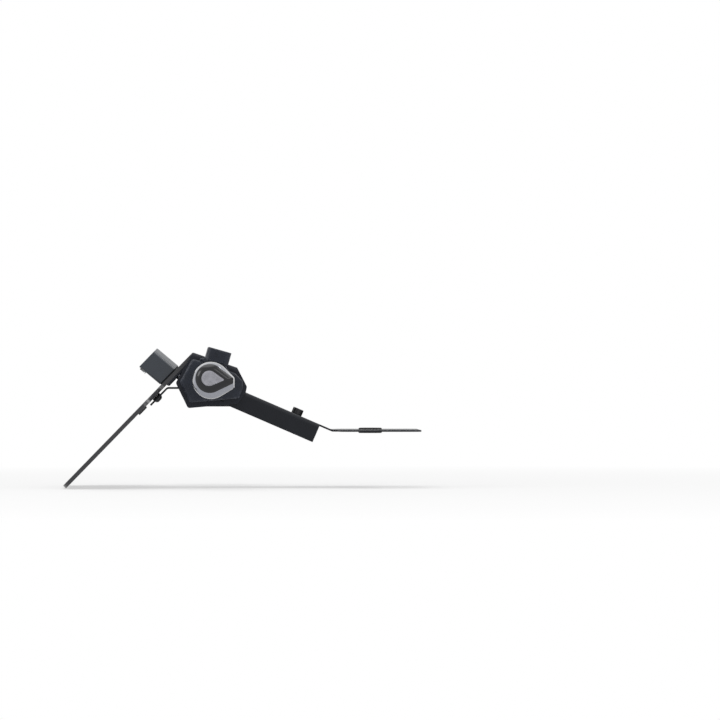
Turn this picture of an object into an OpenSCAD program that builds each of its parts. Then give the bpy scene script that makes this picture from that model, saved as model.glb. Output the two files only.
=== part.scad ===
// Tail tidy: a folded bracket that hangs under a motorbike's tail and carries the
// registration plate, its lamp and the two rear indicators.
// +X is forward, +Y is the bike's left, +Z is up. The origin is the centre of the
// four undertray bolts, on the top face of the front plate.

/* [Front plate] */
// Width of the front plate across the bike
plate_w = 112; // [104:1:130]
// Distance of its front edge ahead of the bolt centre
plate_front = 42; // [38:1:60]
// Distance of the fold behind the bolt centre
plate_back = 33.4; // [32:0.2:45]
// Corner radius of the front plate
plate_corner_r = 8; // [4:1:12]
// Spacing of the undertray bolts along the bike
bolt_dx = 38; // [32:1:40]
// Distance of the undertray bolts from the plate's sides
bolt_edge = 12; // [9:0.5:18]
// Diameter of the undertray bolt holes
bolt_hole_d = 6.6; // [5.2:0.1:8.6]
// Diameter of the cable way through each grommet
cable_way_d = 12; // [8:0.5:14]

/* [Bracket sheet] */
// Thickness of the folded bracket sheet
sheet_t = 1.5; // [1.2:0.1:2]
// Inside radius of every fold
bend_r = 2; // [1.5:0.1:3]
// Outside width of the channel
channel_w = 76; // [68:1:84]
// Outside depth of the channel
flange_h = 16.4; // [14:0.2:20]

/* [Arm] */
// Rise of the arm towards the rear
arm_slope = 23.4; // [15:0.2:30]
// Length of the arm between its two folds
arm_len = 91.5; // [80:0.5:110]
// Distance from the front fold to where the flanges start
flange_start = 11.7; // [9:0.1:16]

/* [Head] */
// Length of the level head from the knee to the tab fold
head_len = 56.5; // [54:0.5:64]
// Length of the head's flanges
head_flange_len = 38.5; // [30:0.5:42]
// Width of the tab that holds the plate carrier
tab_w = 60; // [52:1:66]
// Length of that tab
tab_len = 20.5; // [18:0.5:24]

/* [Stay spacers] */
// Distance of the stay bolts from the front fold
stay_from_fold = 33; // [26:0.5:60]
// Spacing of the two stay bolts
stay_dy = 44; // [30:1:54]
// Diameter of the stay bolt holes
stay_hole_d = 5.3; // [4.3:0.1:6]
// Outside diameter of a stay spacer
spacer_d = 8.4; // [7.6:0.2:11]
// Height of a stay spacer
spacer_h = 5.2; // [4:0.2:8]

/* [Saddle] */
// Thickness of the saddle sheet
saddle_t = 1.5; // [1.4:0.1:2.5]
// Fall of the saddle's top face towards the front
saddle_slope = 19; // [15:0.5:21]
// Reach of the side plates ahead of the knee
saddle_front = 11.2; // [10:0.2:14]
// Height of the front top corner above the head
saddle_rise = 16.7; // [16:0.1:20]
// Depth of the side plates below the head
saddle_drop = 17.8; // [17:0.2:20]
// Reach of the side plates behind the knee
saddle_rear = 49.3; // [48.5:0.1:51]
// Length of the lip behind the plate carrier
lip_len = 35; // [33.5:0.5:35.5]

/* [Indicator adapters] */
// Thickness of an adapter
adapter_t = 6; // [4:0.5:8]
// Margin of the adapter inside the side plate
adapter_margin = 3.4; // [2.5:0.1:4]
// Bevel round the adapter's face
adapter_bevel = 1.2; // [0.6:0.1:2]
// Length of the neck under the tail, along the bike
neck_l = 20.5; // [18:0.5:23]
// Thickness of the neck across the bike
neck_w = 12; // [10:0.5:14]
// Fall of the neck's top face towards the front
neck_slope = 15.8; // [12:0.2:19]

/* [Indicators] */
// Length of the rubber stem
stem_len = 24; // [18:1:30]
// Diameter of the rubber stem
stem_d = 15; // [13:0.5:17]
// Diameter of the hollow stud
stud_d = 8; // [7:0.5:8.5]
// Radius of the lamp body at its outer shoulder, where it is widest
pod_r = 15.6; // [14.5:0.1:17]
// Radius of the lamp body at the stem
pod_root_r = 12.4; // [11.8:0.1:13.4]
// Length of the lamp body without its end cap
pod_len = 58; // [50:1:70]
// Depth of the end cap
cap_len = 13; // [10:0.5:16]
// Reach of the nose ahead of the body's centre, at the shoulder
nose_reach = 19.7; // [18.5:0.1:23]
// Wall of housing and lens
pod_wall = 1.8; // [1.4:0.1:2.2]

/* [Plate carrier] */
// Angle of the carrier from the vertical
carrier_tilt = 44.2; // [38:0.1:47]
// Length of the carrier from top to bottom
carrier_len = 157; // [135:1:180]
// Width of the carrier
carrier_w = 170; // [140:1:200]
// Width of its tongue between the side plates
tongue_w = 70; // [62:1:71]
// Thickness of the carrier sheet
carrier_t = 3.5; // [2.5:0.1:4]
// Spacing of the two registration plate bolts
plate_bolt_dy = 80; // [60:1:100]
// Spacing of the two screws in the tab
tab_screw_dy = 40; // [30:1:44]

/* [Plate lamp] */
// Distance of the lamp below the carrier's top edge
lamp_top = 16.5; // [14:0.5:17]
// Height of the lamp along the carrier
lamp_h = 22.2; // [21:0.2:25]
// Reach of the lamp off the carrier
lamp_out = 24.2; // [18:0.1:28]
// Width of the lamp
lamp_w = 48; // [42:1:60]
// Radius of its two top corners
lamp_corner_r = 9; // [6:0.5:10]
// Wall of the lamp housing
lamp_wall = 1.8; // [1.4:0.1:2.4]

/* [Hidden] */
$fn = 48;
eps = 0.01;
// Free play between a piece and the one that it fits into
slip = 0.3;

// Standard fasteners
m4_d = 4;
m4_head_d = 7.6;
m4_head_h = 2.2;
m4_sink_d = 7.5;
m4_nut_af = 7;
m4_nut_h = 3.2;
m4_thin_nut_h = 2.4;
m4_washer_d = 8;
m4_washer_t = 0.8;
stud_nut_af = 13;
stud_nut_h = 6;
stud_washer_d = 16;
stud_washer_t = 1.6;
// Clinch nuts: head and shank of the two sizes
clinch_h = 1.5;
clinch4_head_d = 7.9;
clinch4_shank_d = 5.4;
clinch5_head_d = 8.7;
clinch5_shank_d = 6.4;
clinch5_bore_d = 4.2;

bolt_dy = plate_w - 2 * bolt_edge;

// Fold points of the bracket's middle plane, as [x, z]
fold = [-plate_back, -sheet_t / 2];
arm_dir = [-cos(arm_slope), sin(arm_slope)];
knee = fold + arm_len * arm_dir;
head_z = knee[1] + sheet_t / 2;
tab_fold = knee - [head_len, 0];
down = [-sin(carrier_tilt), -cos(carrier_tilt)];
channel_half = channel_w / 2;
// Width of web that is flat between the channel's folds, and the relief beside the knee
web_half = channel_half - bend_r - sheet_t - 0.5;
knee_relief = 2.5;
// Paint between two sheets that are bolted together
coat = 0.03;
// Reach of a drill beyond the face that it starts from
drill_reach = 5;
// Slots for cable ties along the arm, in pairs
tie_from_fold = [52, 74];
tie_dy = 14;
tie_slot = [5, 2.2];

// The carrier's own frame: depth runs forward from its outer face, drop runs down it
fold_drop = 36.7;
fold_depth = carrier_t + clinch_h + coat + sheet_t / 2;
depth_dir = [cos(carrier_tilt), -sin(carrier_tilt)];
carrier_top = tab_fold - fold_depth * depth_dir - fold_drop * down;
tab_screw_drop = fold_drop + 11.9;
plate_bolt_drop = tab_screw_drop + 16.7;
lamp_stud_drop = lamp_top + 5;
lamp_stud_dy = 28;
gland_drop = lamp_top + 13;
gland_d = 6;
gland_flange_d = 10;
gland_flange_t = 0.8;
lead_d = 3.5;

// Outline of a side plate, as [x, z], clockwise from the rear top corner
side_front_top = [knee[0] + saddle_front - 8.3, head_z + saddle_rise];
top_dir = [-cos(saddle_slope), sin(saddle_slope)];
side_rear_top = side_front_top
    + top_dir * ((side_front_top - carrier_top) * depth_dir) / -(top_dir * depth_dir);
side_outline = [
    side_rear_top,
    side_front_top,
    [knee[0] + saddle_front, head_z + 0.5],
    [knee[0] + saddle_front - 1, head_z - 4.3],
    [knee[0] + saddle_front - 7.8, head_z - saddle_drop + 3.7],
    [knee[0] - saddle_rear + 10.3, head_z - saddle_drop],
    [knee[0] - saddle_rear, head_z + 3.5]
];
saddle_in = channel_half;
saddle_out = saddle_in + saddle_t;
saddle_screw_z = head_z - 9;
saddle_screw_from_knee = [9, 33];
saddle_screw_x = [for (d = saddle_screw_from_knee) knee[0] - d];

// Adapter: margins follow the side plate's edges in the same order
adapter_out = saddle_out + adapter_t;
adapter_margins = [
    adapter_margin + 1.7,
    adapter_margin,
    adapter_margin,
    adapter_margin + 1.1,
    adapter_margin + 1.1,
    adapter_margin,
    adapter_margin - 1.2
];
neck_proud = 1.5;
neck_h = 9.6;
neck_corner_r = 4;
neck_top = side_front_top + [-14.7, 15];
neck_y = adapter_out + neck_proud - neck_w / 2;
insert_d = 6.3;
insert_h = 8;
insert_bore_d = 4.2;

// Indicator: the stud clears the head so that its washer lies flat
stem_x = knee[0] - 20;
stem_z = head_z + stud_washer_d / 2 + slip;
stem_foot_d = 20;
stem_foot_h = 3;
stud_inner = saddle_in - stud_washer_t - stud_nut_h - 1.5;
stud_bore_d = 4.5;
stud_flange_d = 14;
stud_flange_t = 1.5;
pod_base = adapter_out + stem_len;
pod_joint = pod_base + pod_len;
pod_end = pod_joint + cap_len;
pod_centre = [stem_x, stem_z - 2.3];
face_shift = [-1.6, 1.8];
face_tip = [11.6, -1.2];
base_wall = 2.5;
seam_x = pod_centre[0] - 2.4;
nose_r = 2.5;
face_r = 6.5;
badge_t = 0.6;
board_t = 1.2;
led_size = 3;
led_h = 1.2;
led_count = 6;

// Plate lamp: depths are counted from the carrier's outer face
gasket_t = 0.8;
lamp_pocket_top = lamp_top + 9.5;
lamp_lens_t = 2.5;
lamp_led_count = 3;
lip_back = carrier_t + coat + saddle_t;

// Grommets
grommet_wall = 2;
grommet_groove_d = cable_way_d + 2 * grommet_wall;
grommet_d = grommet_groove_d + 4;
grommet_rim = 1.5;
head_grommet_from_knee = 22;
head_grommet_x = knee[0] - head_grommet_from_knee;

// Geometry helpers

function unit(v) = v / norm(v);
function left_of(v) = [-v[1], v[0]];
function mix(a, b, k) = a + (b - a) * k;
function at(list, i) = list[(i + len(list)) % len(list)];

// Points of the arc that rounds corner b between a and c
function corner_arc(a, b, c, r, n) =
    let (
        u = unit(a - b),
        v = unit(c - b),
        half = acos(u * v) / 2,
        centre = b + unit(u + v) * r / sin(half),
        from = b + u * r / tan(half) - centre,
        side = sign(cross(from, b + v * r / tan(half) - centre)),
        start = atan2(from[1], from[0])
    )
    [for (i = [0 : n]) centre + r * [cos(start + side * (180 - 2 * half) * i / n),
                                     sin(start + side * (180 - 2 * half) * i / n)]];

// A polygon with every corner rounded; r is one radius or a list
function rounded(pts, r, n = 6) =
    [for (i = [0 : len(pts) - 1])
        each corner_arc(at(pts, i - 1), pts[i], at(pts, i + 1), is_list(r) ? r[i] : r, n)];

// A clockwise polygon with edge i, from corner i to the next, moved inwards by d[i]
function inset(pts, d) =
    [for (i = [0 : len(pts) - 1])
        let (
            e0 = unit(pts[i] - at(pts, i - 1)),
            e1 = unit(at(pts, i + 1) - pts[i]),
            s = cross(e0, e1)
        )
        pts[i] + (e0 * at(d, i) - e1 * at(d, i - 1)) / s];

// Section of a bent sheet along its middle line: both faces, with the folds rounded
function fold_side(path, t, k, n) = concat(
    [path[0] + left_of(unit(path[1] - path[0])) * k * t / 2],
    [for (i = [1 : len(path) - 2])
        let (
            e0 = unit(path[i] - path[i - 1]),
            e1 = unit(path[i + 1] - path[i]),
            turn = atan2(cross(e0, e1), e0 * e1),
            s = sign(turn),
            mid = bend_r + t / 2,
            centre = path[i] - e0 * mid * tan(abs(turn) / 2) + left_of(e0) * s * mid
        )
        for (j = [0 : n])
            let (ang = turn * j / n, m = left_of(e0))
            centre - s * (mid - s * k * t / 2)
                * [m[0] * cos(ang) - m[1] * sin(ang), m[0] * sin(ang) + m[1] * cos(ang)]],
    [path[len(path) - 1]
        + left_of(unit(path[len(path) - 1] - path[len(path) - 2])) * k * t / 2]
);
function bent_sheet(path, t, n = 6) =
    let (a = fold_side(path, t, 1, n), b = fold_side(path, t, -1, n))
    concat(a, [for (i = [len(b) - 1 : -1 : 0]) b[i]]);

// Extrudes an [x, z] outline across the bike from y0 to y1
module across(y0, y1) {
    translate([0, y1, 0]) rotate([90, 0, 0]) linear_extrude(y1 - y0) children();
}

// Extrudes a [y, z] outline along x from x0 to x1
module along(x0, x1) {
    translate([x0, 0, 0]) rotate([90, 0, 90]) linear_extrude(x1 - x0) children();
}

// A drill straight down through z = 0
module drill(x, y, d) {
    translate([x, y, -drill_reach]) cylinder(d = d, h = 2 * drill_reach);
}

// A round bar across the bike at [x, z]
module bar_y(p, d, y0, y1, sides = 48) {
    translate([p[0], y0, p[1]]) rotate([-90, 0, 0]) cylinder(d = d, h = y1 - y0, $fn = sides);
}

// A round bar along x at [y, z]
module bar_x(y, z, d, x0, x1, sides = 48) {
    translate([x0, y, z]) rotate([0, 90, 0]) cylinder(d = d, h = x1 - x0, $fn = sides);
}

module both_sides() {
    children();
    mirror([0, 1, 0]) children();
}

module on_side(side) {
    if (side > 0) children();
    else mirror([0, 1, 0]) children();
}

// Frame of the arm: x runs forward down it, z = 0 is its top face, x = 0 the front fold
module on_arm() {
    translate([fold[0] + sin(arm_slope) * sheet_t / 2, 0, fold[1] + cos(arm_slope) * sheet_t / 2])
        rotate([0, arm_slope, 0]) children();
}

// Frame of the carrier: x is depth behind its outer face, -z runs down it
module on_carrier() {
    translate([carrier_top[0], 0, carrier_top[1]]) rotate([0, carrier_tilt, 0]) children();
}

// Frame of the saddle's top face, at its front edge
module on_saddle() {
    translate([side_front_top[0], 0, side_front_top[1]]) rotate([0, saddle_slope, 0]) children();
}

// Frame of a neck's top face, at its middle
module on_neck() {
    translate([neck_top[0], neck_y, neck_top[1]]) rotate([0, neck_slope, 0]) children();
}

// Section of a channel with rounded folds, open below, top face at 0
module channel_section(w, depth, t) {
    module shell(half, top, r) {
        translate([-half, -depth]) square([2 * half, depth - top - r]);
        translate([-half + r, -depth]) square([2 * (half - r), depth - top]);
        for (s = [-1, 1]) translate([s * (half - r), -top - r]) circle(r);
    }
    difference() {
        shell(w / 2, 0, bend_r + t);
        translate([0, -eps]) shell(w / 2 - t, t - eps, bend_r);
    }
}

// Main bracket

module plate_outline() {
    neck_x = fold[0] - (flange_start - 2.5) * cos(arm_slope);
    half = [
        [plate_front, plate_w / 2],
        [fold[0] + 7.4, plate_w / 2],
        [fold[0] + 2.4, channel_half],
        [neck_x, channel_half]
    ];
    polygon(rounded(
        concat(half, [for (i = [3 : -1 : 0]) [half[i][0], -half[i][1]]]),
        [plate_corner_r, plate_corner_r, 4, 0.5, 0.5, 4, plate_corner_r, plate_corner_r]));
    translate([neck_x - 8, -web_half]) square([10, 2 * web_half]);
}

// The head's web across the knee, and its tab, seen from above
module head_outline() {
    tab_x = tab_fold[0] + tab_len * down[0] - sheet_t / 2;
    translate([knee[0] - 10, -web_half]) square([30, 2 * web_half]);
    polygon(rounded([
        [knee[0], -tab_w / 2], [knee[0], tab_w / 2], [tab_x, tab_w / 2], [tab_x, -tab_w / 2]],
        [1, 1, 5, 5]));
}

module cable_tie_slots() {
    for (x = tie_from_fold, s = [-1, 1])
        translate([-x, s * tie_dy / 2, -drill_reach])
            linear_extrude(2 * drill_reach) square(tie_slot, center = true);
}

module main_bracket() {
    // Front edge of the plate's middle line, in the arm's frame
    plate_end = [0, -sheet_t / 2]
        + (plate_front + plate_back) * [cos(arm_slope), sin(arm_slope)];
    color("#1c1d1f") difference() {
        union() {
            intersection() {
                on_arm() across(-plate_w / 2, plate_w / 2) polygon(bent_sheet(
                    [plate_end, [0, -sheet_t / 2], [-flange_start - 4, -sheet_t / 2]], sheet_t));
                translate([0, 0, -flange_h]) linear_extrude(4 * flange_h) plate_outline();
            }
            on_arm() along(-arm_len + knee_relief, -flange_start)
                channel_section(channel_w, flange_h, sheet_t);
            translate([0, 0, head_z]) along(knee[0] - head_flange_len, knee[0] - knee_relief)
                channel_section(channel_w, flange_h, sheet_t);
            intersection() {
                across(-web_half, web_half) polygon(bent_sheet(
                    [knee - 8 * arm_dir, knee, tab_fold, tab_fold + tab_len * down], sheet_t));
                linear_extrude(2 * head_z) head_outline();
            }
        }
        for (x = [-1, 1], y = [-1, 1]) drill(x * bolt_dx / 2, y * bolt_dy / 2, bolt_hole_d);
        drill(0, 0, grommet_groove_d);
        translate([0, 0, head_z]) drill(head_grommet_x, 0, grommet_groove_d);
        on_arm() {
            for (y = [-1, 1]) drill(-stay_from_fold, y * stay_dy / 2, stay_hole_d);
            cable_tie_slots();
        }
        for (x = saddle_screw_x)
            bar_y([x, saddle_screw_z], m4_d, -channel_half - 1, channel_half + 1);
        on_carrier() for (y = [-1, 1])
            bar_x(y * tab_screw_dy / 2, -tab_screw_drop, m4_d + 0.4, carrier_t,
                fold_depth + drill_reach);
    }
}

// Loose tubes that pack the stay bolts off the tail
module stay_spacers() {
    color("#2a2b2d") on_arm() for (y = [-1, 1])
        translate([-stay_from_fold, y * stay_dy / 2, 0]) difference() {
            cylinder(d = spacer_d, h = spacer_h);
            translate([0, 0, -1]) cylinder(d = stay_hole_d, h = spacer_h + 2);
        }
}

// Rubber grommet whose groove grips the sheet below z = 0
module grommet() {
    translate([0, 0, -sheet_t]) rotate_extrude() polygon([
        [cable_way_d / 2, -grommet_rim],
        [grommet_d / 2, -grommet_rim],
        [grommet_d / 2, 0],
        [grommet_groove_d / 2, 0],
        [grommet_groove_d / 2, sheet_t],
        [grommet_d / 2, sheet_t],
        [grommet_d / 2, sheet_t + grommet_rim - 0.5],
        [grommet_d / 2 - 0.7, sheet_t + grommet_rim],
        [cable_way_d / 2, sheet_t + grommet_rim]
    ]);
}

module grommets() {
    color("#111111") {
        grommet();
        translate([head_grommet_x, 0, head_z]) grommet();
    }
}

// Saddle over the head: top web, two side plates and the lip behind the carrier

module saddle() {
    mid = side_front_top - saddle_t / 2 * [sin(saddle_slope), cos(saddle_slope)];
    // Where the middle lines of web and lip meet, behind the front edge of the web
    lip_depth = carrier_t + coat + saddle_t / 2;
    web_len = (lip_depth - (mid - carrier_top) * depth_dir) / (top_dir * depth_dir);
    lip_corner = [-web_len, -saddle_t / 2];
    lip_dir = [-sin(carrier_tilt - saddle_slope), -cos(carrier_tilt - saddle_slope)];
    lip_run = lip_len - (mid + web_len * top_dir - carrier_top) * down;
    lip_half = tongue_w / 2;
    // The cut in the web stays clear of its folds
    cut_half = lip_half + 0.7;
    color("#202123") difference() {
        union() {
            difference() {
                intersection() {
                    on_saddle() along(-70, 20)
                        channel_section(2 * saddle_out, 60, saddle_t);
                    across(-saddle_out - 1, saddle_out + 1)
                        polygon(rounded(inset(side_outline, [-0.6, 0, 0, 0, 0, 0, 0]), 2.5));
                }
                on_carrier() translate([-20, -cut_half, -lip_len])
                    cube([20 + carrier_t + saddle_t + bend_r, 2 * cut_half, lip_len + 10]);
            }
            on_saddle() across(-lip_half, lip_half) polygon(bent_sheet(
                [lip_corner + lip_run * lip_dir, lip_corner, lip_corner + [14, 0]], saddle_t));
        }
        for (x = saddle_screw_x) both_sides() {
            bar_y([x, saddle_screw_z], m4_d, saddle_in - 1, saddle_out + 1);
            translate([x, saddle_out, saddle_screw_z]) rotate([90, 0, 0])
                cylinder(d1 = m4_sink_d, d2 = m4_d, h = saddle_t);
        }
        both_sides() bar_y([stem_x, stem_z], stud_d, saddle_in - 1, saddle_out + 1);
        on_carrier() {
            for (y = [-1, 1])
                bar_x(y * lamp_stud_dy / 2, -lamp_stud_drop, m4_d, carrier_t - 1, lip_back + 1);
            bar_x(0, -gland_drop, gland_d, carrier_t - 1, lip_back + 1);
        }
    }
}

// Countersunk screws that hold the side plates to the head's flanges
module saddle_screws() {
    shank_end = saddle_in - sheet_t - m4_nut_h - 1;
    color("#3a3b3d") for (x = saddle_screw_x) both_sides() difference() {
        union() {
            bar_y([x, saddle_screw_z], m4_d, shank_end, saddle_out);
            translate([x, saddle_out, saddle_screw_z]) rotate([90, 0, 0])
                cylinder(d1 = m4_sink_d, d2 = m4_d, h = saddle_t);
        }
        bar_y([x, saddle_screw_z], 2.9, saddle_out - 1.4, saddle_out + 1, 6);
    }
}

module saddle_nuts() {
    face = channel_half - sheet_t;
    color("#8d8f92") for (x = saddle_screw_x) both_sides() difference() {
        bar_y([x, saddle_screw_z], m4_nut_af / cos(30), face - m4_nut_h, face, 6);
        bar_y([x, saddle_screw_z], m4_d, face - m4_nut_h - 1, face + 1);
    }
}

// Moulded adapter: bevelled plate with a neck that reaches up to the tail

module adapter() {
    outline = inset(side_outline, adapter_margins);
    inner = inset(outline, [for (i = [0 : 6]) adapter_bevel]);
    difference() {
        union() {
            hull() {
                across(saddle_out, adapter_out - adapter_bevel) polygon(rounded(outline, 3));
                across(saddle_out, adapter_out) polygon(rounded(inner, 2));
            }
            on_neck() {
                translate([0, 0, -neck_h - 1.5]) linear_extrude(neck_h + 1.5)
                    polygon(rounded([
                        [-neck_l / 2, -neck_w / 2], [neck_l / 2, -neck_w / 2],
                        [neck_l / 2, neck_w / 2], [-neck_l / 2, neck_w / 2]], neck_corner_r));
                translate([0, -neck_y, 0]) across(saddle_out, adapter_out) neck_root();
            }
        }
        on_saddle() translate([-2 * saddle_rear, -saddle_out, -2 * saddle_rear])
            cube([3 * saddle_rear, 2 * saddle_out, 2 * saddle_rear]);
        bar_y([stem_x, stem_z], stud_d, saddle_out - 1, adapter_out + 1);
        on_neck() translate([0, 0, -insert_h]) cylinder(d = insert_d, h = insert_h + 1);
    }
}

// Foot of the neck with its two flares, in the neck's frame
module neck_root() {
    root_z = -neck_h - 6;
    translate([-neck_l / 2 + 1, root_z]) square([neck_l - 2, 6]);
    for (s = [-1, 1]) difference() {
        r = s < 0 ? 5 : 3;
        z = -neck_h - (s < 0 ? 1.6 : 5);
        translate([s * (neck_l / 2 - 1) + (s < 0 ? -r : 0), z - 2]) square([r, r + 2]);
        translate([s * (neck_l / 2 - 1 + r), z + r]) circle(r);
    }
}

module adapter_left() {
    color("#2b2c2f") on_side(1) adapter();
}

module adapter_right() {
    color("#2b2c2f") on_side(-1) adapter();
}

module neck_inserts() {
    color("#b08d3c") both_sides() on_neck() translate([0, 0, -insert_h]) difference() {
        cylinder(d = insert_d, h = insert_h);
        translate([0, 0, -1]) cylinder(d = insert_bore_d, h = insert_h + 2);
    }
}

// Indicator stems and their fixings

module stem() {
    groove = 1;
    translate([stem_x, adapter_out, stem_z]) rotate([-90, 0, 0]) rotate_extrude() polygon(concat(
        [[stud_d / 2, 0], [stem_foot_d / 2 - 0.6, 0], [stem_foot_d / 2, 0.8],
         [stem_foot_d / 2, stem_foot_h - 1], [stem_foot_d / 2 - 1.4, stem_foot_h],
         [stem_d / 2, stem_foot_h + 1.2]],
        [for (i = [1 : 3], p = [[0, -1.2], [-groove, -0.6], [-groove, 0.6], [0, 1.2]])
            [stem_d / 2 + p[0], stem_foot_h + i * (stem_len - stem_foot_h) / 4 + p[1]]],
        [[stem_d / 2, stem_len], [stud_d / 2, stem_len]]));
}

module stem_left() {
    color("#161616") on_side(1) stem();
}

module stem_right() {
    color("#161616") on_side(-1) stem();
}

module stem_studs() {
    stud_end = pod_base + base_wall;
    color("#9a9c9f") both_sides() difference() {
        union() {
            bar_y([stem_x, stem_z], stud_d, stud_inner, stud_end + stud_flange_t);
            bar_y([stem_x, stem_z], stud_flange_d, stud_end, stud_end + stud_flange_t);
        }
        bar_y([stem_x, stem_z], stud_bore_d, stud_inner - 1, stud_end + stud_flange_t + 1);
    }
}

module stem_washers() {
    color("#a5a7aa") both_sides() difference() {
        bar_y([stem_x, stem_z], stud_washer_d, saddle_in - stud_washer_t, saddle_in);
        bar_y([stem_x, stem_z], stud_d, saddle_in - stud_washer_t - 1, saddle_in + 1);
    }
}

module stem_nuts() {
    face = saddle_in - stud_washer_t;
    color("#8d8f92") both_sides() difference() {
        bar_y([stem_x, stem_z], stud_nut_af / cos(30), face - stud_nut_h, face, 6);
        bar_y([stem_x, stem_z], stud_d, face - stud_nut_h - 1, face + 1);
    }
}

// Indicator bodies: a round back that runs forward into a blunt nose, and widens outwards

// One thin section; k runs from 0 at the stem to 1 at the shoulder
module pod_ring(y, k, grow) {
    nose_x = pod_centre[0] + mix(nose_reach - 5, nose_reach, k) - nose_r;
    nose_mid = pod_centre[1] + mix(-0.8, -2, k);
    nose_half = mix(4.2, 5.7, k) - nose_r;
    bar_y(pod_centre, 2 * (mix(pod_root_r, pod_r, k) + grow), y, y + eps, 40);
    for (s = [-1, 1])
        bar_y([nose_x, nose_mid + s * nose_half], 2 * (nose_r + grow), y, y + eps, 20);
}

module pod_outside() {
    hull() {
        pod_ring(pod_base, 0, -1.4);
        pod_ring(pod_base + 1.8, 0, 0);
        pod_ring(mix(pod_base, pod_joint, 0.5), 0.5, 0.6);
        pod_ring(pod_joint - eps, 1, 0);
    }
}

module pod_inside() {
    hull() {
        pod_ring(pod_base + base_wall, 0, -pod_wall);
        pod_ring(mix(pod_base, pod_joint, 0.5), 0.5, 0.6 - pod_wall);
        pod_ring(pod_joint + eps, 1, -pod_wall);
    }
}

module lens_zone() {
    reach = 2 * pod_r;
    translate([seam_x - reach, pod_base + base_wall, pod_centre[1] - reach])
        cube([reach, pod_len, 2 * reach]);
}

module housing() {
    difference() {
        pod_outside();
        pod_inside();
        lens_zone();
        bar_y([stem_x, stem_z], stud_d, pod_base - 1, pod_base + base_wall + 1);
    }
}

module housing_left() {
    color("#17181a") on_side(1) housing();
}

module housing_right() {
    color("#17181a") on_side(-1) housing();
}

module lens() {
    intersection() {
        difference() {
            pod_outside();
            pod_inside();
        }
        lens_zone();
    }
}

module lens_left() {
    color("#2a2320") on_side(1) lens();
}

module lens_right() {
    color("#2a2320") on_side(-1) lens();
}

// Flat teardrop on the end of the cap
module face_outline(grow) {
    centre = pod_centre + face_shift;
    hull() {
        translate(centre) circle(face_r + grow);
        translate(centre + face_tip) circle(0.8 + grow);
    }
}

module end_cap() {
    // A band that draws in slowly, then a low crown up to the face
    cap_band = 0.8 * cap_len;
    crown_y = pod_joint + 0.94 * cap_len;
    difference() {
        hull() {
            pod_ring(pod_joint, 1, 0);
            pod_ring(pod_joint + cap_band / 2, 1, -0.8);
            pod_ring(pod_joint + cap_band, 1, -2.3);
            across(crown_y, crown_y + eps) face_outline(3.6);
            across(pod_end - eps, pod_end) face_outline(0.6);
        }
        across(pod_end - badge_t, pod_end + 1) face_outline(0);
    }
}

module end_cap_left() {
    color("#101113") on_side(1) end_cap();
}

module end_cap_right() {
    color("#101113") on_side(-1) end_cap();
}

module end_badge_left() {
    color("#c9ccd0") on_side(1) across(pod_end - badge_t, pod_end) face_outline(0);
}

module end_badge_right() {
    color("#c9ccd0") on_side(-1) across(pod_end - badge_t, pod_end) face_outline(0);
}

// Board inside an indicator, just behind the seam and close to the wall all round
board_y0 = pod_base + base_wall + stud_flange_t + slip;
board_y1 = pod_joint - slip;

module led_board() {
    root_half = pod_root_r - pod_wall - slip - 0.3;
    outer_half = pod_r - pod_wall - slip - 0.3;
    x0 = seam_x + led_h / 2;
    translate([x0, 0, 0]) rotate([90, 0, 90]) linear_extrude(board_t) polygon([
        [board_y0, pod_centre[1] - root_half],
        [board_y1, pod_centre[1] - outer_half],
        [board_y1, pod_centre[1] + outer_half],
        [board_y0, pod_centre[1] + root_half]]);
}

module led_board_left() {
    color("#2f6b3a") on_side(1) led_board();
}

module led_board_right() {
    color("#2f6b3a") on_side(-1) led_board();
}

module leds() {
    pitch = (board_y1 - board_y0) / led_count;
    for (i = [0 : led_count - 1])
        translate([seam_x, board_y0 + (i + 0.5) * pitch, pod_centre[1]])
            cube([led_h, led_size, led_size], center = true);
}

module leds_left() {
    color("#e8a33a") on_side(1) leds();
}

module leds_right() {
    color("#e8a33a") on_side(-1) leds();
}

// Plate carrier: one flat sheet, drawn as seen from behind

module carrier_outline() {
    shoulder = fold_drop + 5;
    half = [
        [tongue_w / 2, 0],
        [tongue_w / 2, -shoulder],
        [carrier_w / 2, -shoulder - 14],
        [carrier_w / 2, -carrier_len]
    ];
    polygon(rounded(
        concat(half, [for (i = [3 : -1 : 0]) [-half[i][0], half[i][1]]]),
        [6, 8, 10, 14, 14, 10, 8, 6]));
}

// Upright slots for plates with other hole spacings
module carrier_slots() {
    slot_w = 6.5;
    slot_l = 18;
    side_y = carrier_w / 2 - 23;
    low_drop = carrier_len - 25;
    for (s = [-1, 1], p = [[side_y, low_drop - 52], [side_y, low_drop], [20, low_drop]])
        translate([s * p[0], -p[1]]) {
            square([slot_w, slot_l - slot_w], center = true);
            for (z = [-1, 1]) translate([0, z * (slot_l - slot_w) / 2]) circle(d = slot_w);
        }
}

module plate_carrier() {
    color("#26272a") on_carrier() difference() {
        along(0, carrier_t) carrier_outline();
        along(-1, carrier_t + 1) carrier_slots();
        for (y = [-1, 1]) {
            bar_x(y * tab_screw_dy / 2, -tab_screw_drop, clinch4_shank_d, -1, carrier_t + 1);
            bar_x(y * plate_bolt_dy / 2, -plate_bolt_drop, clinch5_shank_d, -1, carrier_t + 1);
            bar_x(y * lamp_stud_dy / 2, -lamp_stud_drop, m4_d, -1, carrier_t + 1);
        }
        bar_x(0, -gland_drop, gland_d, -1, carrier_t + 1);
    }
}

// Nut pressed into the carrier from its front face
module clinch_nut(y, drop, shank_d, head_d, bore_d) {
    difference() {
        union() {
            bar_x(y, -drop, shank_d, 0, carrier_t);
            bar_x(y, -drop, head_d, carrier_t, carrier_t + clinch_h);
        }
        bar_x(y, -drop, bore_d, -1, carrier_t + clinch_h + 1);
    }
}

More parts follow.
